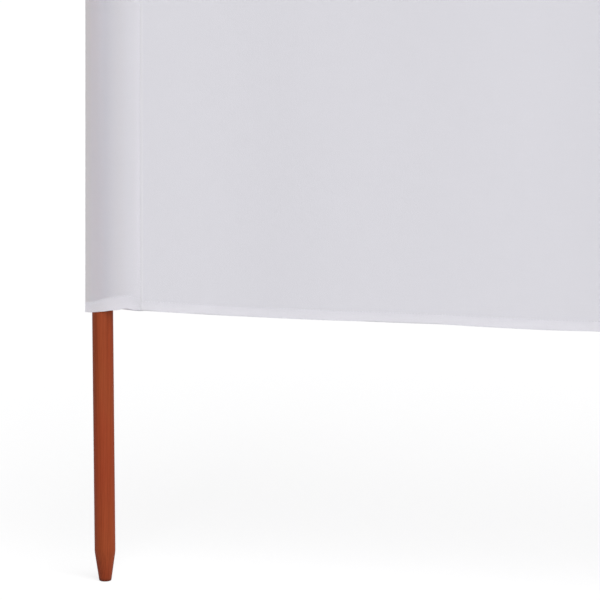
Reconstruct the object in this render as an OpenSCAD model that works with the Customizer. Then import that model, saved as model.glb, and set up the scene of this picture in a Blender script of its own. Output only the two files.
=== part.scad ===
// Beach windbreak: a row of wooden poles in sewn sleeves, with a cloth panel in each bay.
// The row runs along +X, the cloth's plain side looks to -Y, and +Z is up. The cloth is flat in
// front of the poles, and a second layer holds each pole from behind.
// The origin is the middle of the flat tip of the middle pole. Sizes are in mm.

/* [Row] */
// Distance from one pole's axis to the next
bay_w = 1000; // [500:10:1500]

/* [Poles] */
// Diameter of a pole
pole_d = 25; // [20:0.5:32]
// Length of a pole from its tip to its top
pole_len = 1200; // [1170:10:1600]
// Length of the tapered tip
tip_len = 36; // [20:1:120]
// Diameter of the tip's end, before its edge is rounded
tip_d = 14.5; // [6:0.5:16]
// Rounding between the tip's flat end and its taper
tip_round = 1.5; // [0.5:0.1:2.5]
// Rounding of a pole's top edge
top_round = 4; // [1:0.5:8]

/* [Cloth] */
// Height of the cloth
cloth_h = 800; // [300:10:830]
// Height of the cloth's lower edge above the tips
cloth_z = 330; // [150:5:360]
// Thickness of one layer of cloth
cloth_t = 0.6; // [0.4:0.1:1.2]
// Height of the hems along the upper and lower edge
hem_h = 13; // [8:1:40]

/* [Sleeves] */
// Clearance between a pole and the hem inside its sleeve
sleeve_gap = 0.4; // [0.3:0.1:0.8]
// Distance from an end pole's axis to the crease of its sleeve
crease_x = 17; // [15:0.5:32]
// Distance from an end pole's axis to where the two layers of its sleeve meet
end_meet_x = 56; // [30:0.5:70]
// Distance from any other pole's axis to where the two layers of its sleeve meet
mid_meet_x = 42; // [28:0.5:70]
// Width of the sewn-down edge beside a seam
tab_w = 3.5; // [3:0.5:15]

/* [Hidden] */
$fn = 96;
bays = 6;
poles = bays + 1;
pole_r = pole_d / 2;
hem_r = pole_r + sleeve_gap;
lining_r = hem_r + cloth_t;
sleeve_r = lining_r + cloth_t;
arc_steps = 6;
cut = 1;

// Where pole i stands along the row
function pole_x(i) = (i - 1 - bays / 2) * bay_w;

// True for the poles at the two ends of the row
function is_end(i) = i == 1 || i == poles;

// Points along a rounding from angle a to angle b
function rounding(x, y, r, a, b) = [
    for (k = [0 : arc_steps])
        let (t = a + (b - a) * k / arc_steps)
        [x + r * cos(t), y + r * sin(t)]
];

// Angle from the flat front of a sleeve to its back layer, which meet at distance x from the axis
function spread(x) = 2 * atan(sleeve_r / x);

// Where the back layer comes down on the back of the panel: the seam's line
function seam_line(x) = (sleeve_r + hem_r * cos(spread(x))) / sin(spread(x));

// Seam line of sleeve i on the side of its bay
function seam_of(i) = seam_line(is_end(i) ? end_meet_x : mid_meet_x);

// Angle of the taper from the pole's axis
taper = atan((pole_r - tip_d / 2) / tip_len);

// Profile of a pole: flat tip with a rounded edge, taper, shaft and rounded top
module pole_profile() {
    // The rounding runs from the flat end to the line of the taper
    tip_flat = tip_d / 2 - tip_round * tan((90 - taper) / 2);
    polygon(concat(
        [[0, 0]],
        rounding(tip_flat, tip_round, tip_round, -90, -taper),
        [[pole_r, tip_len]],
        rounding(pole_r - top_round, pole_len - top_round, top_round, 0, 90),
        [[0, pole_len]]
    ));
}

module pole(i) {
    color("sienna")
        translate([pole_x(i), 0, 0])
            rotate_extrude()
                pole_profile();
}

// Space inside a sleeve at radius r: flat in front, round behind the pole, and narrowing to where
// its layers meet on each side. The angles are the same at every radius, so that a layer has the
// same thickness all round.
module sleeve_inside(r, left, right) {
    k = r / sleeve_r;
    polygon(concat(
        [[right * k, -r]],
        rounding(0, 0, r, 90 - spread(right), 90 + spread(left)),
        [[-left * k, -r]]
    ));
}

// Points of a seam whose layers meet at distance x, from the front to the back. The end face is
// as thick as the panel, and the back layer's edge lies flat on the panel beside it.
function seam_edge(x) =
    let (s = seam_line(x))
    [
        [s, -sleeve_r],
        [s, -lining_r],
        [s + tab_w, -lining_r],
        [s + tab_w, -hem_r],
        [s, -hem_r]
    ];

// The same points on the other side of the pole, from the back to the front
function turned(points) = [
    for (k = [len(points) - 1 : -1 : 0])
        [-points[k].x, points[k].y]
];

// Outline of a sleeve with a seam to the right, and a crease or another seam to the left
module sleeve_outside(left, right, crease) {
    polygon(concat(
        seam_edge(right),
        rounding(0, 0, sleeve_r, 90 - spread(right), 90 + spread(left)),
        crease ? [[-left, -sleeve_r]] : turned(seam_edge(left))
    ));
}

// Tube of cloth round a pole, with a hem turned in at its top and bottom
module sleeve(left, right, crease) {
    difference() {
        linear_extrude(cloth_h)
            sleeve_outside(left, right, crease);
        translate([0, 0, -cut])
            linear_extrude(cloth_h + 2 * cut)
                sleeve_inside(hem_r, left, right);
        translate([0, 0, hem_h])
            linear_extrude(cloth_h - 2 * hem_h)
                sleeve_inside(lining_r, left, right);
    }
}

module pole_sleeve(i) {
    color("gainsboro")
        translate([pole_x(i), 0, cloth_z])
            if (i == 1)
                sleeve(crease_x, end_meet_x, true);
            else if (i == poles)
                // Turned round to face the other way, with the tab still on the back
                mirror([1, 0, 0])
                    sleeve(crease_x, end_meet_x, true);
            else
                sleeve(mid_meet_x, mid_meet_x, false);
}

// Sheet of one bay, from seam to seam, with a hem turned to the back along both edges
module cloth_panel(i) {
    from = pole_x(i) + seam_of(i);
    to = pole_x(i + 1) - seam_of(i + 1);
    color("whitesmoke")
        translate([from, -sleeve_r, cloth_z]) {
            cube([to - from, cloth_t, cloth_h]);
            for (z = [0, cloth_h - hem_h])
                translate([tab_w, cloth_t, z])
                    cube([to - from - 2 * tab_w, cloth_t, hem_h]);
        }
}

pole(1);  // pole_1
pole(2);  // pole_2
pole(3);  // pole_3
pole(4);  // pole_4
pole(5);  // pole_5
pole(6);  // pole_6
pole(7);  // pole_7
pole_sleeve(1);  // pole_sleeve_1
pole_sleeve(2);  // pole_sleeve_2
pole_sleeve(3);  // pole_sleeve_3
pole_sleeve(4);  // pole_sleeve_4
pole_sleeve(5);  // pole_sleeve_5
pole_sleeve(6);  // pole_sleeve_6
pole_sleeve(7);  // pole_sleeve_7
cloth_panel(1);  // cloth_panel_1
cloth_panel(2);  // cloth_panel_2
cloth_panel(3);  // cloth_panel_3
cloth_panel(4);  // cloth_panel_4
cloth_panel(5);  // cloth_panel_5
cloth_panel(6);  // cloth_panel_6
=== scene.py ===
import math

import bpy
import numpy as np
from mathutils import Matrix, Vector


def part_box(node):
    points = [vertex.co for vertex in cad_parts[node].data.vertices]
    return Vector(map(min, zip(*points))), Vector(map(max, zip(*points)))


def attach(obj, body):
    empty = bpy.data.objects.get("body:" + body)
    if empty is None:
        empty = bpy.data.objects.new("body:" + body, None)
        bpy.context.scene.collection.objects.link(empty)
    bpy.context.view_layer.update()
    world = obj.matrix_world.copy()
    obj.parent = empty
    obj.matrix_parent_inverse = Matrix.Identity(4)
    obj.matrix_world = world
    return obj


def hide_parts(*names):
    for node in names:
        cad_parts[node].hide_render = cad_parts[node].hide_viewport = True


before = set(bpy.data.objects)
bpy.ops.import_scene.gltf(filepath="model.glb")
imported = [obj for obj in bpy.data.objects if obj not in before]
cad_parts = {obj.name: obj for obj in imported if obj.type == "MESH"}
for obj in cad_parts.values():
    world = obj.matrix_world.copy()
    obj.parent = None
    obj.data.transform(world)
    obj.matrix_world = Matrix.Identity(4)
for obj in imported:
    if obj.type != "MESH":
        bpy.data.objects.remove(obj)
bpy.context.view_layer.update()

MM = 0.001
POLES = 7
BODY = "root"


def node_box(name):
    """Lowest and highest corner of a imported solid, in mm."""
    low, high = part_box(name)
    return np.array(low) / MM, np.array(high) / MM


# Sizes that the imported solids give, in mm
POLE_AT = [float(np.mean(node_box(f"pole_{i}"), axis=0)[0]) for i in range(1, POLES + 1)]
BAY = POLE_AT[1] - POLE_AT[0]
POLE_HIGH = node_box("pole_1")[1]
POLE_R = float(POLE_HIGH[0]) - POLE_AT[0]
POLE_LEN = float(POLE_HIGH[2])
PANEL_LOW, PANEL_HIGH = node_box("cloth_panel_1")
CLOTH_Y = float(PANEL_LOW[1])
CLOTH_Z = float(PANEL_LOW[2])
CLOTH_H = float(PANEL_HIGH[2]) - CLOTH_Z
END_SEAM = float(PANEL_LOW[0]) - POLE_AT[0]
MID_SEAM = POLE_AT[1] - float(PANEL_HIGH[0])
TAB = float(node_box("pole_sleeve_1")[1][0]) - POLE_AT[0] - END_SEAM

# The poles, in mm
TIP_LEN = 36.0
TIP_D = 14.5
TIP_ROUND = 1.5
TOP_ROUND = 4.0
POLE_SIDES = 48
OUT_OF_ROUND = 0.0015  # share of its radius by which a turned pole strays

# The cloth, in mm
LAYER = 0.6  # from the panel to the sewn-down edge on its back
FRONT = CLOTH_Y + LAYER / 2  # the plane of the panels and of the sleeves' front
TURN = 4.0  # raw edge turned in under a hem or a sewn edge
EDGE_FADE = 120.0  # height over which the waves of the lower edge die away
TOP_FADE = 260.0  # the same below the upper edge

# The hems, in mm
HEM = 13.0
HEM_FOLD = 1.2  # thickness at the fold
HEM_FLAT = 0.62  # thickness at the stitches
HEM_BULGE = 0.3  # how far the fold stands out
HEM_SOFT = 8.0  # distance from the edge at which the fold lies flat
HEM_EDGE = 1.6  # from the stitches to the hem's inner edge
HEM_DENT = 0.04  # how deep the stitches lie
HEM_PRESS = 0.15  # how much thinner the hem is at its stitches
HEM_DENT_WIDTH = 0.8

# The sleeves, in mm
SLEEVE_R = -FRONT
TOUCH_R = POLE_R + 0.5  # where the front lies on the pole
FLANK = math.radians(9)  # how far the front of an end sleeve turns back to its crease
FRONT_SMOOTH = 13.0  # length over which the front of an end sleeve bends round the pole
TOUCH_SMOOTH = 1.5  # the same where it comes to lie on the pole
BACK_SMOOTH = 2.6  # the same where the back layer comes down on the panel
FOLD_SMOOTH = 0.18  # the same at sharp folds
SEAM_PULL = 0.09  # how far a seam's stitches pull the cloth in
SEAM_WIDTH = 1.1
BACK_SEAM_WIDTH = 0.9
TAB_PUSH = 0.09  # how far the sewn-down edge pushes the panel out
TAB_LIFT = 1.15  # how far the panel's hem lifts the sewn-down edge
TAB_RAMP = 14.0  # length over which it is lifted
HEM_SQUEEZE = 0.5  # share by which a hem is thinner where it lies on the pole
MID_WAVE = 0.5  # height of the waves of a middle sleeve's lower edge

# The panels, in mm
BILLOW = 4.5  # depth of the curve from pole to pole
WAVES = ((1.5, 1.35, 0.22), (0.9, 2.3, -0.35))  # depth, and number across and up the panel
RIPPLE = 0.5  # depth of the smallest waves
PUCKER = 0.07  # depth of the ripples along a hem
PUCKER_PITCH = 11.3
TOP_SAG = 5.0  # how far the upper edge sags between the poles
TAB_PAINTED_LIGHT = 1.4  # share of the painted light of two layers where the sewn-down edge lies behind a panel, beside that of a hem

# The thread, in mm
STITCH_PITCH = 3.6
STITCH_LEN = 2.9
STITCH_FULL = 0.55  # share of a stitch that is as thick as the thread
THREAD_R = 0.2
THREAD_LIFT = 0.04  # how far the thread stands up from the cloth
THREAD_SUNK = 0.2  # how deep the ends of a stitch are in the cloth
SEAM_START = 3.0  # from the cloth's edge to a seam's first stitch
ROW_START = 2.0  # from a seam to the first stitch of a panel's hem


def smoothstep(x, lo, hi):
    """From 0 at lo to 1 at hi, level at both."""
    t = np.clip((np.asarray(x, float) - lo) / (hi - lo), 0, 1)
    return t * t * (3 - 2 * t)


def bell(x, width):
    """1 at 0, falling away on both sides."""
    return np.exp(-((np.asarray(x, float) / width) ** 2))


def within(share, margin):
    """0 at both ends of a span, which share runs along from 0 to 1, and 1 between the margins."""
    return smoothstep(share, 0, margin) * smoothstep(1 - share, 0, margin)


# Meshes


def mesh_object(name, verts, faces, material, uvs=None, shade=None):
    """A smooth object from points in mm. faces is a list of arrays, one for each number of corners.
    Each point can have a place on the flat cloth, in m, in uvs, and in shade the painted light and
    shade, as shares of red, green and blue that are taken away there."""
    me = bpy.data.meshes.new(name)
    co = (np.asarray(verts, float) * MM).astype(np.float32)
    faces = [np.asarray(f, np.int32) for f in faces]
    corners = np.concatenate([f.ravel() for f in faces])
    total = np.concatenate([np.full(len(f), f.shape[1], np.int32) for f in faces])
    me.vertices.add(len(co))
    me.vertices.foreach_set("co", co.ravel())
    me.loops.add(len(corners))
    me.loops.foreach_set("vertex_index", corners)
    me.polygons.add(len(total))
    me.polygons.foreach_set("loop_start", (np.cumsum(total) - total).astype(np.int32))
    me.polygons.foreach_set("loop_total", total)
    me.polygons.foreach_set("use_smooth", np.full(len(total), True))
    if uvs is not None:
        layer = me.uv_layers.new(name="cloth")
        layer.data.foreach_set("uv", np.asarray(uvs, np.float32)[corners].ravel())
    if shade is not None:
        taken = me.attributes.new("shade", "FLOAT_VECTOR", "POINT")
        taken.data.foreach_set("vector", shade.astype(np.float32).ravel())
    me.update(calc_edges=True)
    me.validate()
    me.materials.append(material)
    ob = bpy.data.objects.new(name, me)
    bpy.context.scene.collection.objects.link(ob)
    return ob


def grid_faces(rows, cols, start=0, loop=False):
    """Quads of a grid of points, row by row. A loop also joins the last column to the first."""
    r, c = np.meshgrid(np.arange(rows - 1), np.arange(cols if loop else cols - 1), indexing="ij")
    a = start + r * cols + c
    b = start + r * cols + (c + 1) % cols
    return np.stack([a, b, b + cols, a + cols], -1).reshape(-1, 4)


# Shader nodes


def new_material(name):
    mat = bpy.data.materials.new(name)
    mat.use_nodes = True
    nt = mat.node_tree
    nt.nodes.clear()
    out = nt.nodes.new("ShaderNodeOutputMaterial")
    return mat, nt, out


def node(nt, kind, inputs=None, **props):
    """A new node with some properties, and inputs that are values or other nodes' outputs."""
    n = nt.nodes.new(kind)
    for k, v in props.items():
        setattr(n, k, v)
    for k, v in (inputs or {}).items():
        if isinstance(v, bpy.types.NodeSocket):
            nt.links.new(v, n.inputs[k])
        else:
            n.inputs[k].default_value = v
    return n


def math_node(nt, op, a, b=0.0, c=0.0):
    return node(nt, "ShaderNodeMath", {0: a, 1: b, 2: c}, operation=op).outputs[0]


def vector_node(nt, op, inputs):
    return node(nt, "ShaderNodeVectorMath", inputs, operation=op).outputs[0]


def axis(nt, vector, name):
    return node(nt, "ShaderNodeSeparateXYZ", {0: vector}).outputs[name]


def mapping(nt, vector, **knobs):
    """Coordinates that are stretched, turned and moved."""
    return node(nt, "ShaderNodeMapping", {"Vector": vector, **knobs}).outputs[0]


def noise(nt, vector, scale, detail, rough=0.5, distortion=0.0):
    """Noise on coordinates stretched by scale, in waves per metre."""
    at = mapping(nt, vector, Scale=scale)
    knobs = {"Vector": at, "Scale": 1.0, "Detail": detail, "Roughness": rough, "Distortion": distortion}
    return node(nt, "ShaderNodeTexNoise", knobs).outputs["Fac"]


def added(nt, base, parts):
    """The sum of a base and of several values, each times its share."""
    for value, share in parts:
        base = math_node(nt, "MULTIPLY_ADD", value, share, base)
    return base


def rising(nt, value, start, until):
    """From start where the value is 0 to 1 where it is until."""
    return node(nt, "ShaderNodeMapRange", {0: value, 1: 0.0, 2: until, 3: start, 4: 1.0}).outputs[0]


def ramp(nt, fac, stops):
    n = node(nt, "ShaderNodeValToRGB", {"Fac": fac})
    els = n.color_ramp.elements
    while len(els) < len(stops):
        els.new(0.5)
    for e, (pos, col) in zip(els, stops):
        e.position = pos
        e.color = (*col, 1.0)
    return n.outputs["Color"]


# Cloth and thread

CLOTH_COLOUR = (0.937, 0.928, 0.982)
CLOTH_TONE = 0.977  # of the cloth between its clouds, thick threads and weave
THROUGH = 0.44  # share of the light that goes through a layer
WEAVE = 0.0006  # pitch of the weave, in m
THREAD_COLOURS = [(0.3, (0.72, 0.71, 0.75)), (0.7, (0.84, 0.83, 0.87))]

# Painted light and shade: shares of red, green and blue by which parts of the cloth are darker, or lighter
# where they are below 0
POLE_PAINTED_SHADE = np.array((0.072, 0.076, 0.082))  # painted shade where a pole lies behind the cloth
ON_POLE_PAINTED_LIGHT = np.array((0.012, -0.015, -0.033))  # painted light and shade all over a pole: the tint of light bounced between the sleeve's layers
BESIDE_POLE_PAINTED_LIGHT = np.array((0.005, -0.002, 0.010))  # the same painted tint of bounced light in the rest of a sleeve
CREASE_PAINTED_SHADE = np.array((0.032, 0.022, 0.050))  # painted shade at an end sleeve's crease
LAYERS_PAINTED_LIGHT = np.array((-0.004, -0.006, 0.014))  # painted light where two layers lie together: a little lighter, and less blue
LAP_PAINTED_LIGHT = np.array((-0.010, -0.010, -0.010))  # painted light where a turned-in edge lies behind
FOLD_PAINTED_SHADE = np.array((0.12, 0.12, 0.13))  # painted shade along the folds of the hems


def cloth_material():
    mat, nt, out = new_material("woven_cloth")
    uv = node(nt, "ShaderNodeUVMap", uv_map="cloth").outputs["UV"]
    turn = math.tau / WEAVE
    across = math_node(nt, "SINE", math_node(nt, "MULTIPLY", axis(nt, uv, "X"), turn))
    upward = math_node(nt, "SINE", math_node(nt, "MULTIPLY", axis(nt, uv, "Y"), turn))
    weave = math_node(nt, "MULTIPLY", across, upward)
    slub = noise(nt, uv, (30, 900, 1), 2.0)
    cloud = noise(nt, uv, (3, 3, 1), 3.0)
    tone = added(nt, CLOTH_TONE, [(cloud, 0.02), (slub, 0.028), (weave, 0.03)])
    colour = vector_node(nt, "SCALE", {0: CLOTH_COLOUR, "Scale": tone})
    # Painted light and shade, as shares of red, green and blue taken away
    taken = node(nt, "ShaderNodeAttribute", attribute_name="shade").outputs["Vector"]
    left = vector_node(nt, "SUBTRACT", {0: (1, 1, 1), 1: taken})
    colour = vector_node(nt, "MULTIPLY", {0: colour, 1: left})
    height = math_node(nt, "MULTIPLY_ADD", slub, 0.6, weave)
    bump = node(nt, "ShaderNodeBump", {"Height": height, "Strength": 0.4, "Distance": 0.00006})
    normal = bump.outputs["Normal"]
    knobs = {"Base Color": colour, "Roughness": 0.85, "Specular IOR Level": 0.1, "Normal": normal}
    facing = node(nt, "ShaderNodeBsdfPrincipled", knobs)
    through = node(nt, "ShaderNodeBsdfTranslucent", {"Color": colour, "Normal": normal})
    mix = node(nt, "ShaderNodeMixShader", {0: THROUGH, 1: facing.outputs[0], 2: through.outputs[0]})
    nt.links.new(mix.outputs[0], out.inputs["Surface"])
    return mat


def thread_material():
    mat, nt, out = new_material("sewing_thread")
    co = node(nt, "ShaderNodeTexCoord").outputs["Object"]
    twist = noise(nt, co, (2500, 2500, 2500), 2.0)
    colour = ramp(nt, twist, THREAD_COLOURS)
    bump = node(nt, "ShaderNodeBump", {"Height": twist, "Strength": 0.3, "Distance": 0.0001})
    knobs = {"Base Color": colour, "Roughness": 0.7, "Specular IOR Level": 0.2}
    p = node(nt, "ShaderNodeBsdfPrincipled", {**knobs, "Normal": bump.outputs["Normal"]})
    nt.links.new(p.outputs[0], out.inputs["Surface"])
    return mat


# Wood

STAIN = [(0.32, (0.184, 0.028, 0.0081)), (0.50, (0.256, 0.042, 0.0125)), (0.68, (0.308, 0.055, 0.0190))]
BROWNER = [(0.32, (1.0, 0.92, 0.92)), (0.68, (1.0, 1.12, 1.06))]  # times the stain, in patches
TIP_PAINTED_SHADE = 0.78  # painted shade: how dark the stain is at the tip
TIP_PAINTED_SHADE_TO = 0.042  # height above the tip at which it has its full colour, in m
END_PAINTED_SHADE = 0.38  # the same for the end of the tip
END_PAINTED_SHADE_TO = 0.004
RING_PITCH = 0.0019  # width of a year's growth, in m
RING_STRAY = 9.0  # how far the rings stray from circles, as an angle of their waves
RING_TURN = 2.4  # angle by which the grain is turned from one pole to the next
PITH = (0.016, 0.009, 0.0)  # from the pole's axis to the middle of the rings, in m
PITH_LEAN = (0.006, 0.010, 0.0)


def growth_rings(nt, co, local):
    """Waves from -1 to 1 round a pith beside each pole, which leans a little and faces another way in
    each. co is a place in the row, and local runs from 0 to 1 over one pole."""
    size = (2 * POLE_R * MM, 2 * POLE_R * MM, POLE_LEN * MM)
    corner = (-POLE_R * MM, -POLE_R * MM, 0.0)
    at = mapping(nt, local, Scale=size, Location=corner)
    place = math_node(nt, "ROUND", math_node(nt, "DIVIDE", axis(nt, co, "X"), BAY * MM))
    angle = math_node(nt, "MULTIPLY", place, RING_TURN)
    turned = node(nt, "ShaderNodeVectorRotate", {"Vector": at, "Angle": angle}, rotation_type="Z_AXIS")
    leaning = mapping(nt, turned.outputs[0], Location=PITH, Rotation=PITH_LEAN)
    flat = vector_node(nt, "MULTIPLY", {0: leaning, 1: (1, 1, 0)})
    radius = node(nt, "ShaderNodeVectorMath", {0: flat}, operation="LENGTH").outputs["Value"]
    stray = math_node(nt, "MULTIPLY", noise(nt, co, (90, 90, 3), 2.0), RING_STRAY)
    return math_node(nt, "SINE", added(nt, stray, [(radius, math.tau / RING_PITCH)]))


def wood_material():
    mat, nt, out = new_material("stained_wood")
    coords = node(nt, "ShaderNodeTexCoord")
    co = coords.outputs["Object"]
    broad = noise(nt, co, (70, 70, 3), 3.0, 0.55)
    streak = noise(nt, co, (420, 420, 7), 4.0, 0.6, 0.3)
    fibre = noise(nt, co, (1900, 1900, 45), 2.0, 0.55)
    rings = growth_rings(nt, co, coords.outputs["Generated"])
    grain = added(nt, 0.0, [(broad, 0.35), (streak, 0.45), (fibre, 0.20), (rings, 0.05)])
    patch = noise(nt, co, (24, 24, 11), 2.0)
    colour = vector_node(nt, "MULTIPLY", {0: ramp(nt, grain, STAIN), 1: ramp(nt, patch, BROWNER)})
    # Painted shade: the stain is darker towards the tip, and darkest at its end
    up = axis(nt, co, "Z")
    tip = rising(nt, up, TIP_PAINTED_SHADE, TIP_PAINTED_SHADE_TO)
    end = rising(nt, up, END_PAINTED_SHADE, END_PAINTED_SHADE_TO)
    colour = vector_node(nt, "SCALE", {0: colour, "Scale": math_node(nt, "MULTIPLY", tip, end)})
    rough = math_node(nt, "MULTIPLY_ADD", streak, 0.18, 0.48)
    height = math_node(nt, "MULTIPLY_ADD", fibre, 0.5, streak)
    bump = node(nt, "ShaderNodeBump", {"Height": height, "Strength": 0.22, "Distance": 0.0004})
    knobs = {"Base Color": colour, "Roughness": rough, "Specular IOR Level": 0.12}
    p = node(nt, "ShaderNodeBsdfPrincipled", {**knobs, "Normal": bump.outputs["Normal"]})
    nt.links.new(p.outputs[0], out.inputs["Surface"])
    return mat


CLOTH = cloth_material()
THREAD = thread_material()
WOOD = wood_material()


# Poles


def pole_profile():
    """Radius and height of the pole from its tip to its top, in mm, without the two end points."""
    taper = math.atan((POLE_R - TIP_D / 2) / TIP_LEN)
    flat = TIP_D / 2 - TIP_ROUND * math.tan((math.pi / 2 - taper) / 2)
    pts = [(flat * 0.5, 0.0)]
    for a in np.linspace(-math.pi / 2, -taper, 6):
        pts.append((flat + TIP_ROUND * math.cos(a), TIP_ROUND + TIP_ROUND * math.sin(a)))
    last = pts[-1]
    for t in np.linspace(0.15, 0.93, 7):
        pts.append((last[0] + (POLE_R - last[0]) * t, last[1] + (TIP_LEN - last[1]) * t))
    # The edge between the taper and the shaft is a little soft
    pts.append((POLE_R - 0.14, TIP_LEN - 0.4))
    pts.append((POLE_R - 0.02, TIP_LEN + 1.2))
    for z in np.linspace(TIP_LEN + 4, POLE_LEN - TOP_ROUND - 4, 46):
        pts.append((POLE_R, z))
    for a in np.linspace(0, math.pi / 2, 7):
        pts.append((POLE_R - TOP_ROUND * (1 - math.cos(a)), POLE_LEN - TOP_ROUND * (1 - math.sin(a))))
    return np.array(pts)


def make_pole(i):
    rings = pole_profile()
    ang = np.arange(POLE_SIDES) * math.tau / POLE_SIDES
    r, z = rings[:, :1], rings[:, 1:]
    # The radius strays slowly along the pole, never beyond its nominal size
    stray = np.sin(2 * ang[None, :] + z / 170 + i) * np.cos(z / 260 + 2.1 * i)
    r = r * (1 - OUT_OF_ROUND + OUT_OF_ROUND * stray)
    z = np.broadcast_to(z, r.shape)
    pts = np.stack([r * np.cos(ang), r * np.sin(ang), z], -1)
    verts = np.vstack([pts.reshape(-1, 3), [[0, 0, 0], [0, 0, POLE_LEN]]])
    verts[:, 0] += POLE_AT[i - 1]
    low = np.arange(POLE_SIDES)
    high = low + (len(rings) - 1) * POLE_SIDES
    centre = np.full(POLE_SIDES, len(rings) * POLE_SIDES)
    tip = np.stack([centre, np.roll(low, -1), low], -1)
    top = np.stack([centre + 1, high, np.roll(high, -1)], -1)
    quads = grid_faces(len(rings), POLE_SIDES, loop=True)
    ob = mesh_object(f"wood_pole_{i}", verts, [quads, np.vstack([tip, top])], WOOD)
    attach(ob, BODY)
    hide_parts(f"pole_{i}")


# Rows of the cloth, from the edge turned in under the lower hem to the one under the upper


def hem_rows():
    """Rows of a hem as (share of the hem's height, mm, depth). Depth is 0 on the outer face and
    1 on the inner."""
    rows = [(1, -TURN, 0.5), (1, -1.2, 0.5), (1, -0.25, 0.55), (1, 0, 0.78), (1, -0.25, 1)]
    rows += [(0.75, 0, 1), (0.5, 0, 1), (0.28, 0, 1), (0, 1.6, 1)]
    rho = HEM_FOLD / 2
    for a in np.linspace(0, math.pi, 9):
        rows.append((0, rho - rho * math.sin(a), 0.5 + 0.5 * math.cos(a)))
    return rows


# Distances of the rows from the cloth's edge: close together at the hem's stitches, and even between
HEM_ROWS = hem_rows()
NEAR_ROWS = [1.0, 2.0, 3.5, 5.5, 7.5, 9.2, 10.2, 11.0, 11.8, 12.8, 14, 15.4, 17, 19, 23, 28, 35, 44]
EVEN_FROM = 56.0
EVEN_ROWS = list(np.linspace(EVEN_FROM, CLOTH_H - EVEN_FROM, 38))


def cloth_rows(hem):
    """Heights (rows, columns) and depths (rows,) for columns with the given hem heights."""
    hem = np.asarray(hem, float)
    low = [share * hem + mm for share, mm, _ in HEM_ROWS]
    low += [np.full(hem.shape, a) for a in NEAR_ROWS]
    depth = [d for _, _, d in HEM_ROWS] + [0] * len(NEAR_ROWS)
    z = low + [np.full(hem.shape, a) for a in EVEN_ROWS] + [CLOTH_H - a for a in reversed(low)]
    return np.array(z), np.array(depth + [0] * len(EVEN_ROWS) + depth[::-1], float)


def from_edge(z):
    """Distance from the nearer edge of the cloth."""
    return np.minimum(z, CLOTH_H - z)


def flat_heights(z, depth):
    """Distance along the cloth from its lower raw edge, for the weave."""
    step = np.hypot(np.diff(z, axis=0), np.diff(depth * HEM_FLAT)[:, None])
    return np.vstack([np.zeros((1, z.shape[1])), np.cumsum(step, axis=0)])


def hem_offset(near, hem, depth):
    """How far a point of the cloth stands back from its plane, near an edge, in mm."""
    soft = 1 - smoothstep(near, 0, HEM_SOFT)
    pull = bell(near - hem + HEM_EDGE, HEM_DENT_WIDTH)
    thick = HEM_FLAT + (HEM_FOLD - HEM_FLAT) * soft - HEM_PRESS * pull
    return -HEM_BULGE * soft + HEM_DENT * pull + depth * thick


def past_hem(near, hem):
    """0 on a hem and 1 beyond it."""
    return smoothstep(near, hem - 1, hem + 1)


# Sections of the sleeves, seen from above, from the pole's axis in mm

PATH_STEP = 0.1  # distance from one point of a path to the next, where it is smoothed


def pole_tangent(a, b, side):
    """Points from a, right of the pole, over its front (side -1) or back (side 1) to b, left of it."""
    ax, ay, bx, by = a[0], a[1] * side, b[0], b[1] * side
    ta = math.atan2(ay, ax) + math.acos(SLEEVE_R / math.hypot(ax, ay))
    tb = math.atan2(by, bx) % math.tau - math.acos(SLEEVE_R / math.hypot(bx, by))
    arc = np.linspace(ta, tb, 40)
    over = SLEEVE_R * np.stack([np.cos(arc), np.sin(arc)], -1)
    return np.vstack([[ax, ay], over, [bx, by]]) * [1, side]


def lengths(pts):
    """Length along a path to each of its points."""
    return np.concatenate([[0], np.cumsum(np.hypot(*np.diff(pts, axis=0).T))])


def at_length(pts, s, t):
    """Points at lengths t along a path whose own points lie at lengths s."""
    return np.stack([np.interp(t, s, pts[:, k]) for k in (0, 1)], -1)


def dense(pts):
    """The same path with points close together."""
    pts = np.asarray(pts, float)
    s = lengths(pts)
    return at_length(pts, s, np.linspace(0, s[-1], int(s[-1] / PATH_STEP) + 2))


def blurred(pts, sigma):
    """A dense path smoothed over sigma mm. Its ends stay where they are."""
    n = int(4 * sigma / PATH_STEP)
    k = np.exp(-0.5 * (np.arange(-n, n + 1) * PATH_STEP / sigma) ** 2)
    k /= k.sum()
    out = np.empty_like(pts)
    for c in (0, 1):
        v = pts[:, c]
        ext = np.concatenate([2 * v[0] - v[n:0:-1], v, 2 * v[-1] - v[-2 : -n - 2 : -1]])
        out[:, c] = np.convolve(ext, k, mode="valid")
    return out


def keep_off_pole(pts, least):
    """The path pushed out to at least this distance from the pole's axis."""
    r = np.hypot(pts[:, 0], pts[:, 1])
    return pts * np.maximum(1, least / np.maximum(r, 1e-6))[:, None]


def sewn_edge(seam):
    """The back layer beyond its seam: flat on the panel, and turned in under itself."""
    flat, under = FRONT + LAYER, FRONT + LAYER / 2
    return [(seam, flat), (seam + TAB, flat), (seam + TAB, under), (seam - TURN, under)]


def end_path(crease, seam):
    """From the seam over the pole's front to the crease, and over its back to the sewn edge."""
    front = blurred(dense(pole_tangent((seam, FRONT), crease, -1)), FRONT_SMOOTH)
    front = blurred(keep_off_pole(front, TOUCH_R), TOUCH_SMOOTH)
    back = dense(pole_tangent((seam, FRONT + LAYER), crease, 1)[::-1])
    run_out = dense(sewn_edge(seam)[:2])
    back = keep_off_pole(blurred(np.vstack([back, run_out[1:]]), BACK_SMOOTH), SLEEVE_R)
    turn = dense(sewn_edge(seam)[1:])
    path = blurred(dense(np.vstack([front, back[1:], turn[1:]])), FOLD_SMOOTH)
    path[0] = (seam, FRONT)
    return path


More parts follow.
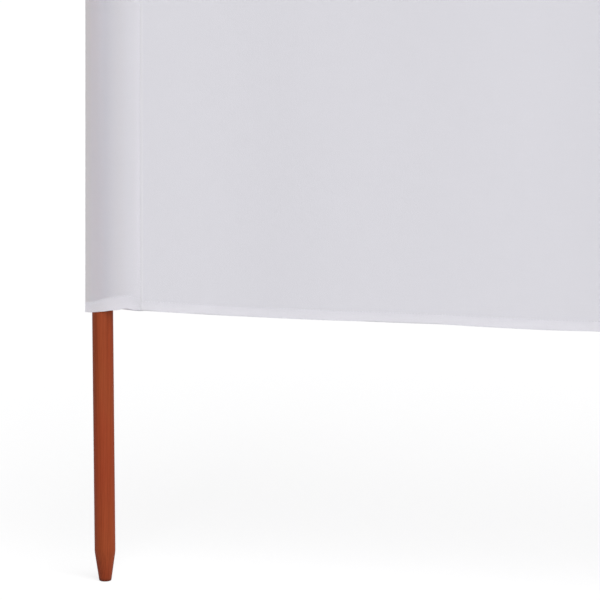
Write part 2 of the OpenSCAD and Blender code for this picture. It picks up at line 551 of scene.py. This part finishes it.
def mid_paths():
    """The front layer of a sleeve between two bays, and the strip on its back."""
    front = dense([(MID_SEAM, FRONT), (-MID_SEAM, FRONT)])
    out = dense(sewn_edge(MID_SEAM)[:2])
    over = dense(pole_tangent((MID_SEAM, FRONT + LAYER), (-MID_SEAM, FRONT + LAYER), 1))
    back = blurred(np.vstack([out[::-1], over[1:], out[1:] * [-1, 1]]), BACK_SMOOTH)
    back = keep_off_pole(back, SLEEVE_R)
    turn = dense(sewn_edge(MID_SEAM)[1:])
    back = blurred(dense(np.vstack([turn[::-1], back[1:-1], turn * [-1, 1]])), FOLD_SMOOTH)
    return front, back


def columns_of(pts, most=2.6, least=0.15, per_turn=0.2):
    """Lengths along the path, from least to most mm apart, with about per_turn radians of bend between."""
    s = lengths(pts)
    d = np.gradient(pts, axis=0)
    ang = np.unwrap(np.arctan2(d[:, 1], d[:, 0]))
    bend = np.abs(np.gradient(ang)) / np.maximum(np.gradient(s), 1e-6)
    step = np.clip(per_turn / np.maximum(bend, 1e-6), least, most)
    # The columns are close together a little before and after a bend too
    n = 12
    step = np.array([step[max(0, k - n) : k + n + 1].min() for k in range(len(step))])
    need = np.concatenate([[0], np.cumsum(0.5 * (1 / step[1:] + 1 / step[:-1]) * np.diff(s))])
    return np.interp(np.linspace(0, need[-1], int(math.ceil(need[-1])) + 1), need, s)


def inward(pts, side):
    """Unit normals of a path towards the inside of its sleeve."""
    d = np.gradient(pts, axis=0)
    d /= np.hypot(d[:, 0], d[:, 1])[:, None]
    return np.stack([d[:, 1], -d[:, 0]], -1) * side


class Section:
    """Columns of a layer of sleeve, at one or more heights above its lower edge."""

    def __init__(self, heights, pts, at, side):
        self.heights = np.array(heights, float)
        self.pts = np.array(pts)
        self.at = at
        self.normals = np.array([inward(p, side) for p in pts])

    def mixed(self, values, a, h):
        """Values at length a and height h."""
        rows = [np.stack([np.interp(a, self.at, v[:, k]) for k in (0, 1)], -1) for v in values]
        if len(rows) == 1:
            return rows[0]
        k = np.clip(np.searchsorted(self.heights, h) - 1, 0, len(self.heights) - 2)
        t = np.clip((h - self.heights[k]) / (self.heights[k + 1] - self.heights[k]), 0, 1)[..., None]
        rows = np.array(rows)
        low = np.take_along_axis(rows, k[None, ..., None], 0)[0]
        high = np.take_along_axis(rows, k[None, ..., None] + 1, 0)[0]
        return low * (1 - t) + high * t

    def point(self, a, h):
        """Points at length a and height h, and the way into the sleeve there."""
        return self.mixed(self.pts, a, h), self.mixed(self.normals, a, h)


# The end poles stand a little askew in their sleeves. At these heights above the lower edge, the
# crease is this far from the pole's axis, and the seam is this far from its place
LEAN_Z = (0.0, 350.0, 560.0, CLOTH_H)
CREASE_X = {1: (17.6, 13.0, 13.2, 14.7), POLES: (16.8, 16.0, 15.2, 15.8)}
SEAM_SHIFT = {1: (-0.9, 1.6, 1.8, 1.0), POLES: (0.2, 0.9, 1.4, 0.8)}


def crease_at(x):
    """The crease at distance x, on the line of the sleeve's front."""
    return -x, -(SLEEVE_R - x * math.sin(FLANK)) / math.cos(FLANK)


def end_section(i):
    """Section of an end sleeve, and the length along it at which the crease lies."""
    creases = [crease_at(x) for x in CREASE_X[i]]
    paths = [end_path(crease, END_SEAM + shift) for crease, shift in zip(creases, SEAM_SHIFT[i])]
    runs = [lengths(path) for path in paths]
    folds = [s[np.argmin(np.hypot(*(path - c).T))] for path, s, c in zip(paths, runs, creases)]
    at = columns_of(paths[0])
    pts = []
    for path, s, fold in zip(paths, runs, folds):
        # The columns keep their share of the front and of the back
        place = np.interp(at, [0, folds[0], runs[0][-1]], [0, fold, s[-1]])
        pts.append(at_length(path, s, place))
    return Section(LEAN_Z, pts, at, 1), folds[0]


def mid_section(path, side):
    at = columns_of(path)
    return Section([0.0], [at_length(path, lengths(path), at)], at, side)


# Pieces of cloth and their stitches


def row_of_stitches(points, outward):
    """Places of the stitches along a row of points, the way that each runs and the way out."""
    s = np.concatenate([[0], np.cumsum(np.linalg.norm(np.diff(points, axis=0), axis=1))])

    def along_row(t, values):
        return np.stack([np.interp(t, s, values[:, k]) for k in range(3)], -1)

    count = max(1, int(s[-1] / STITCH_PITCH))
    mid = (np.arange(count) + 0.5) * s[-1] / count
    run = along_row(mid + 0.5, points) - along_row(mid - 0.5, points)
    return along_row(mid, points), run, along_row(mid, outward)


def make_stitches(name, rows):
    """One piece of all the stitches of some rows. A stitch is a thick short thread with sunk ends."""
    at, along, out = (np.vstack(v) for v in zip(*[row_of_stitches(*r) for r in rows]))
    along /= np.linalg.norm(along, axis=1)[:, None]
    out -= along * np.sum(along * out, axis=1)[:, None]
    out /= np.linalg.norm(out, axis=1)[:, None]
    across = np.cross(along, out)
    half, r = STITCH_LEN / 2, THREAD_R
    ring = [(r + THREAD_LIFT, 0), (THREAD_LIFT, r), (-r, 0), (THREAD_LIFT, -r)]
    local = [(-half, -THREAD_SUNK, 0)]
    local += [(t * half, n, b) for t in (-STITCH_FULL, STITCH_FULL) for n, b in ring]
    local = np.array(local + [(half, -THREAD_SUNK, 0)])
    stitch_axes = np.stack([along, out, across], 1)
    verts = at[:, None, :] + np.einsum("lk,skc->slc", local, stitch_axes)
    k = np.arange(4)
    nxt = (k + 1) % 4
    quads = np.stack([1 + k, 1 + nxt, 5 + nxt, 5 + k], -1)
    ends = np.vstack([
        np.stack([0 * k, 1 + nxt, 1 + k], -1),
        np.stack([0 * k + 9, 5 + k, 5 + nxt], -1),
    ])
    first = (np.arange(len(at)) * len(local))[:, None, None]
    faces = [(first + quads).reshape(-1, 4), (first + ends).reshape(-1, 3)]
    ob = mesh_object(name, verts.reshape(-1, 3), faces, THREAD)
    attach(ob, BODY)
    return ob


def cloth_object(name, grids):
    """One piece of cloth from grids of points, their places on the flat cloth, and their painted light and
    shade.
    """
    verts = np.vstack([p.reshape(-1, 3) for p, _, _ in grids])
    uvs = np.vstack([uv.reshape(-1, 2) for _, uv, _ in grids])
    shade = np.vstack([s.reshape(-1, 3) for _, _, s in grids])
    faces, start = [], 0
    for p, _, _ in grids:
        faces.append(grid_faces(p.shape[0], p.shape[1], start))
        start += p.shape[0] * p.shape[1]
    ob = mesh_object(name, verts, [np.vstack(faces)], CLOTH, uvs, shade)
    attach(ob, BODY)
    return ob


# Sleeves

LAP_AT = 4.8  # from a seam to the middle of the painted light where the turned-in edge lies behind it, in mm
LAP_WIDTH = 2.6
MID_POLE_SHADE_SHARE = 0.7  # share of the painted shade where a middle pole lies behind the cloth, beside that of an end pole
MID_POLE_SHADE_WIDTH = 13.0


def pole_shade(pole_shade_share, x, seam):
    """Painted light and shade of a sleeve's columns, at distances x to the side of the pole's axis."""
    steps = (
        (-15, -5, CREASE_PAINTED_SHADE, ON_POLE_PAINTED_LIGHT),
        (6, 30, 0, BESIDE_POLE_PAINTED_LIGHT - ON_POLE_PAINTED_LIGHT),
        (seam - 18, seam, 0, LAYERS_PAINTED_LIGHT - BESIDE_POLE_PAINTED_LIGHT),
    )
    shade = pole_shade_share[:, None] * POLE_PAINTED_SHADE
    for low, high, before, after in steps:
        share = smoothstep(x, low, high)[:, None]
        shade = shade + (1 - share) * before + share * after
    return shade + bell(x - seam + LAP_AT, LAP_WIDTH)[:, None] * LAP_PAINTED_LIGHT


class Sleeve:
    """One layer of a sleeve as a surface over the length along its section and the height."""

    def __init__(self, i, section, seams, tabs, shade, hem, droop, mirror=False):
        self.at_x = POLE_AT[i - 1]
        self.section = section
        self.seams = seams  # the length at which each seam lies, and its width
        self.tabs = tabs  # the length at which each sewn-down edge starts, and which way it runs
        self.shade = shade
        self.hem = hem  # height of the hem at a length
        self.droop = droop  # how far the lower edge strays upward at a length
        self.flip = -1 if mirror else 1

    def surface(self, a, h, depth):
        """Points at length a, height h and depth in the hem, and the way out of the sleeve."""
        p, n = self.section.point(a, h)
        near = from_edge(h)
        # The hem is squeezed where it lies on the pole
        gap = np.hypot(p[..., 0], p[..., 1]) - SLEEVE_R
        squeeze = HEM_SQUEEZE * (1 - smoothstep(gap, -0.5, 2.0))
        off = hem_offset(near, self.hem(a), depth * (1 - squeeze))
        for seam, width in self.seams:
            off = off + SEAM_PULL * bell(a - seam, width)
        x = (p[..., 0] + n[..., 0] * off) * self.flip + self.at_x
        y = p[..., 1] + n[..., 1] * off
        # The sewn edge lies on the panel's hem
        on_hem = 1 - smoothstep(near, HEM - 1, HEM + 5)
        for seam, way in self.tabs:
            y = y + TAB_LIFT * on_hem * smoothstep((a - seam) * way, -TAB_RAMP, 0)
        z = h + self.droop(a) * np.exp(-h / EDGE_FADE) + CLOTH_Z
        out = np.stack([-n[..., 0] * self.flip, -n[..., 1], 0 * z], -1)
        return np.stack([x, y, z], -1), out

    def grid(self):
        at = self.section.at
        z, depth = cloth_rows(self.hem(at))
        a = np.broadcast_to(at, z.shape)
        p, _ = self.surface(a, z, depth[:, None])
        uv = np.stack([a + self.at_x, flat_heights(z, depth)], -1) * MM
        # The hems get the painted light of two layers, not the painted shade of the pole
        single = past_hem(from_edge(z), self.hem(at))[..., None]
        shade = self.shade * single + LAYERS_PAINTED_LIGHT * (1 - single)
        return [v[:, ::-1] if self.flip < 0 else v for v in (p, uv, shade)]

    def stitches(self):
        """Rows along the outer face of the lower and the upper hem, and up the seams."""
        a = np.linspace(self.section.at[0], self.section.at[-1], 400)
        low = self.hem(a) - HEM_EDGE
        rows = [self.surface(a, h, 0.0) for h in (low, CLOTH_H - low)]
        h = np.linspace(SEAM_START, CLOTH_H - SEAM_START, 400)
        return rows + [self.surface(np.full(h.shape, seam), h, 0.0) for seam, _ in self.seams]


def end_sleeve(i):
    section, fold = end_section(i)
    at = section.at
    full = at[-1]
    x = section.pts[0][:, 0]
    front = at <= fold
    back_seam = full - 2 * TAB - TURN
    # The front's lower edge hangs lower at the crease and is drawn up between the pole and the seam
    edge_x = (-12, -8, 0, 8, 13, 18, 23, 27, 31, 36, 43, END_SEAM)
    edge = (-4.1, -3.8, -2.8, -1.9, -0.9, -0.3, 0.1, 0.8, 2.2, 2.7, 1.7, 1.0)
    hem_x = (-12, -9, 8, 24, 38, END_SEAM)
    hem = (12.0, 12.4, 15.2, 17.2, 16.8, 15.5)
    # Along the back from the crease to the sewn edge
    back_at = (fold, fold + 25, fold + 45, back_seam - 8, full)
    back_edge = (-4.1, -2.0, -0.9, -0.2, 0.9)
    back_hem = (11.4, HEM)
    # Share of the painted shade where the pole lies behind the front
    pole_shade_share_x = (-8, -3, 0, 4, 8, 11, 15, 22, 30, 37, 45)
    pole_shade_share = (0.0, 0.05, 0.15, 0.47, 0.90, 0.92, 0.78, 0.55, 0.37, 0.14, 0.0)
    drop = np.where(front, np.interp(x, edge_x, edge), np.interp(at, back_at, back_edge))
    high = np.where(front, np.interp(x, hem_x, hem), np.interp(at, back_at[:2], back_hem))
    sleeve = Sleeve(
        i,
        section,
        seams=[(0.0, SEAM_WIDTH), (back_seam, BACK_SEAM_WIDTH)],
        tabs=[(back_seam, 1)],
        shade=pole_shade(np.where(front, np.interp(x, pole_shade_share_x, pole_shade_share), 0.0), x, END_SEAM),
        hem=lambda a: np.interp(a, at, high),
        droop=lambda a: np.interp(a, at, drop),
        mirror=i == POLES,
    )
    return [sleeve]


def wavy_edge(full, phase):
    """A lower edge that waves a little, but not at the ends of a layer as long as full."""

    def droop(a):
        return MID_WAVE * np.sin(a / 9.0 + phase) * smoothstep(np.minimum(a, full - a), 4, 20)

    return droop


def mid_sleeve(i):
    sleeves = []
    for side, path in zip((1, -1), mid_paths()):
        section = mid_section(path, side)
        full = section.at[-1]
        x = np.abs(section.pts[0][:, 0])
        at_seam = 0.0 if side > 0 else 2 * TAB + TURN
        sleeve = Sleeve(
            i,
            section,
            seams=[(at_seam, SEAM_WIDTH), (full - at_seam, SEAM_WIDTH)],
            tabs=[] if side > 0 else [(at_seam, -1), (full - at_seam, 1)],
            shade=pole_shade(MID_POLE_SHADE_SHARE * bell(x, MID_POLE_SHADE_WIDTH), x, MID_SEAM),
            hem=lambda a: np.full(np.shape(a), HEM),
            droop=wavy_edge(full, 1.7 * i + 2.2 * side),
        )
        sleeves.append(sleeve)
    return sleeves


def make_sleeve(i):
    sleeves = end_sleeve(i) if i in (1, POLES) else mid_sleeve(i)
    ob = cloth_object(f"sewn_sleeve_{i}", [s.grid() for s in sleeves])
    stitches = make_stitches(f"sleeve_stitches_{i}", [row for s in sleeves for row in s.stitches()])
    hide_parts(f"pole_sleeve_{i}")


# Panels


def panel_columns(width):
    """Distances of the columns from the left seam: close together at the seams, and even between."""
    near = [0, 0.4, 0.8, 1.2, 1.7, 2.3, 2.9, 3.3, 3.7, 4.2, 5.0, 6.4, 8.2]
    even_from, pitch = 10.5, 3.2
    even = list(np.linspace(even_from, width - even_from, int((width - 2 * even_from) / pitch)))
    return np.array(near + even + [width - a for a in reversed(near)])


class Panel:
    """The sheet of bay i as a surface over the distance from its left seam and the height."""

    def __init__(self, i):
        self.i = i
        self.x0 = POLE_AT[i - 1] + (END_SEAM if i == 1 else MID_SEAM)
        self.x1 = POLE_AT[i] - (END_SEAM if i == POLES - 1 else MID_SEAM)
        self.width = self.x1 - self.x0
        self.phase = np.random.RandomState(40 + i).uniform(0, math.tau, 8)

    def from_seam(self, x):
        """Distance from the nearer seam."""
        return np.minimum(x, self.width - x)

    def billow(self, x, z):
        """How far the sheet stands back from its plane. The bays curve back and forward in turn."""
        u, v, ph = x / self.width, z / CLOTH_H, self.phase
        sign = 1 if self.i % 2 else -1
        y = BILLOW * sign * np.sin(math.pi * u) ** 2 * (0.75 + 0.25 * np.cos(math.tau * (v - 0.5)))
        waves = RIPPLE * np.sin(math.tau * (4.1 * u + 0.2 * np.sin(3 * v + ph[2])) + ph[3])
        for (deep, across, up), start in zip(WAVES, ph):
            waves = waves + deep * np.sin(math.tau * (across * u + up * v) + start)
        return y + waves * within(u, 0.22)

    def puckers(self, x, near):
        """Small ripples that the stitches draw in the hem."""
        ph = self.phase
        wave = np.sin(math.tau * x / PUCKER_PITCH + ph[4] + 2.5 * np.sin(x / 37 + ph[5]))
        wave = wave * (0.6 + 0.4 * np.sin(x / 61 + ph[6]))
        return PUCKER * wave * bell(near - HEM, 9.0)

    def edges(self, x):
        """How far the lower and the upper edge stray from a straight line."""
        u, i = x / self.width, self.i
        inside = within(u, 0.12)
        if i == 1:
            at = (0, 30, 100, 180, 225, 270, 320, 362, 408, 456, 500, 545, 700, self.width)
            stray = (1.2, 0.4, -0.6, -0.5, -0.3, 0.4, 0.4, 1.0, 0.1, -0.5, -0.6, 0.5, -0.3, 0)
            low = sum(np.interp(x + k, at, stray) for k in (-15, 0, 15)) / 3
        else:
            low = 0.7 * inside * np.sin(math.tau * x / (250 + 17 * i) + self.phase[7])
        top = -TOP_SAG * np.sin(math.pi * u) ** 2 + 0.9 * inside * np.sin(math.tau * x / 330 + i)
        return low, top

    def fold_shade_share(self, x):
        """How much painted shade lies on the folds of the hems: in patches, and more beside the seams."""
        ph = self.phase
        patch = np.sin(x / 29 + ph[5]) + np.sin(x / 53 + ph[6]) + 0.6 * np.sin(x / 11 + ph[4])
        return 0.8 * smoothstep(patch, 0.1, 1.2) + 1 - smoothstep(self.from_seam(x), 10, 28)

    def seam_shift(self, x, z):
        """How far the sheet follows a seam that leans."""
        shift = 0.0
        for end, far, sign in ((1, x, 1), (POLES, self.width - x, -1)):
            if self.i == min(end, POLES - 1):
                lean = np.interp(z, LEAN_Z, SEAM_SHIFT[end])
                shift = shift + sign * lean * (1 - smoothstep(far, 0, 320))
        return shift

    def surface(self, x, z, depth):
        """Points at distance x, height z and depth in the hem."""
        near = from_edge(z)
        side = self.from_seam(x)
        y = FRONT + self.billow(x, z) + self.puckers(x, near) + hem_offset(near, HEM, depth)
        # The seam's stitches pull the sheet in, and the sewn edge behind it pushes it out
        y = y + SEAM_PULL * bell(side, SEAM_WIDTH)
        y = y - TAB_PUSH * smoothstep(side, 0.8, 1.8) * (1 - smoothstep(side, TAB - 0.6, TAB + 0.5))
        low, top = self.edges(x)
        height = z + low * np.exp(-z / EDGE_FADE) + top * np.exp(-(CLOTH_H - z) / TOP_FADE) + CLOTH_Z
        return np.stack([x + self.seam_shift(x, z) + self.x0, y, height], -1)

    def grid(self):
        cols = panel_columns(self.width)
        z, depth = cloth_rows(np.full(len(cols), HEM))
        x = np.broadcast_to(cols, z.shape)
        uv = np.stack([x + self.x0, flat_heights(z, depth)], -1) * MM
        near = from_edge(z)
        # Painted light where two layers lie together: on the hems and over the sewn-down edge
        on_hem = 1 - past_hem(near, HEM)
        on_tab = 1 - smoothstep(self.from_seam(x), TAB - 0.5, TAB + 1)
        layers = np.maximum(on_hem, TAB_PAINTED_LIGHT * on_tab)
        # Painted shade along the folds at the cloth's edges
        fold_shade = self.fold_shade_share(x) * (1 - smoothstep(near, 0.5, 1.3))
        shade = layers[..., None] * LAYERS_PAINTED_LIGHT + fold_shade[..., None] * FOLD_PAINTED_SHADE
        return self.surface(x, z, depth[:, None]), uv, shade

    def stitches(self):
        """Rows along both hems, on the front and on the back."""
        x = np.linspace(ROW_START, self.width - ROW_START, 1200)
        rows = []
        for h in (HEM - HEM_EDGE, CLOTH_H - HEM + HEM_EDGE):
            for depth, y in ((0.0, -1.0), (1.0, 1.0)):
                out = np.broadcast_to([0.0, y, 0.0], (len(x), 3))
                rows.append((self.surface(x, np.full(x.shape, h), depth), out))
        return rows


def make_panel(i):
    panel = Panel(i)
    ob = cloth_object(f"cloth_sheet_{i}", [panel.grid()])
    stitches = make_stitches(f"hem_stitches_{i}", panel.stitches())
    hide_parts(f"cloth_panel_{i}")


for number in range(1, POLES + 1):
    make_pole(number)
    make_sleeve(number)
for number in range(1, POLES):
    make_panel(number)


# Stage, light and camera

FLOOR_HALF = 400000.0  # half the floor's width, in mm
FLOOR_COLOUR = (0.86, 0.86, 0.87, 1)
FLOOR_WHITE = 0.62  # share of plain white in the floor that the camera sees
FLOOR_GLOW = 1.25  # strength of that white
WHITE = (1, 1, 1, 1)


def seen_directly(nt):
    """The light path of a ray, and 1 where it comes from the camera or from a reflection."""
    path = node(nt, "ShaderNodeLightPath").outputs
    return path, math_node(nt, "MAXIMUM", path["Is Camera Ray"], path["Is Glossy Ray"])


def make_floor():
    mat, nt, out = new_material("pale_floor")
    _, seen = seen_directly(nt)
    share = math_node(nt, "MULTIPLY", seen, FLOOR_WHITE)
    plain = node(nt, "ShaderNodeBsdfDiffuse", {"Color": FLOOR_COLOUR})
    glow = node(nt, "ShaderNodeEmission", {"Color": WHITE, "Strength": FLOOR_GLOW})
    mix = node(nt, "ShaderNodeMixShader", {0: share, 1: plain.outputs[0], 2: glow.outputs[0]})
    nt.links.new(mix.outputs[0], out.inputs["Surface"])
    half = FLOOR_HALF
    corners = [[-half, -half, 0], [half, -half, 0], [half, half, 0], [-half, half, 0]]
    mesh_object("floor", corners, [[[0, 1, 2, 3]]], mat)


def make_world(level):
    """White to the camera and in reflections, and a plain even light on everything else."""
    world = bpy.data.worlds.new("studio")
    bpy.context.scene.world = world
    world.use_nodes = True
    nt = world.node_tree
    nt.nodes.clear()
    out = nt.nodes.new("ShaderNodeOutputWorld")
    path, seen = seen_directly(nt)
    # Light that cloth scatters through counts as diffuse
    clear = math_node(nt, "SUBTRACT", path["Is Transmission Ray"], path["Is Diffuse Ray"])
    seen = math_node(nt, "MAXIMUM", seen, clear)
    strength = math_node(nt, "MULTIPLY_ADD", seen, 1.0 - level, level)
    bg = node(nt, "ShaderNodeBackground", {"Color": WHITE, "Strength": strength})
    nt.links.new(bg.outputs[0], out.inputs["Surface"])


def direction(azimuth, elevation):
    """Towards a place seen from the object. Azimuth 0 is in front, 90 at the row's right end."""
    a, e = math.radians(azimuth), math.radians(elevation)
    return Vector((math.sin(a) * math.cos(e), -math.cos(a) * math.cos(e), math.sin(e)))


def make_sun(name, azimuth, elevation, strength, angle):
    lamp = bpy.data.lights.new(name, "SUN")
    lamp.energy = strength
    lamp.angle = math.radians(angle)
    ob = bpy.data.objects.new(name, lamp)
    bpy.context.scene.collection.objects.link(ob)
    ob.rotation_euler = direction(azimuth, elevation).to_track_quat("Z", "Y").to_euler()


def make_camera(azimuth, elevation, distance, target, focus_px):
    """A camera at a distance from a target, both in mm. Its focal length is in pixels of the frame."""
    frame_px = 600.0
    cam = bpy.data.cameras.new("camera")
    cam.sensor_width = 36.0
    cam.lens = cam.sensor_width * focus_px / frame_px
    cam.clip_start = 0.1
    cam.clip_end = 2000.0
    ob = bpy.data.objects.new("camera", cam)
    bpy.context.scene.collection.objects.link(ob)
    back = direction(azimuth, elevation)
    ob.location = (Vector(target) + back * distance) * MM
    ob.rotation_euler = back.to_track_quat("Z", "Y").to_euler()
    bpy.context.scene.camera = ob


make_floor()
make_world(level=0.265)
make_sun("key", azimuth=43.0, elevation=36.0, strength=2.755, angle=60.0)
make_camera(
    azimuth=18.02,
    elevation=7.56,
    distance=3000.0,
    target=(POLE_AT[0] + 245.9, 0.0, 349.8),
    focus_px=2598.5,
)

bpy.context.scene.view_settings.view_transform = "Standard"
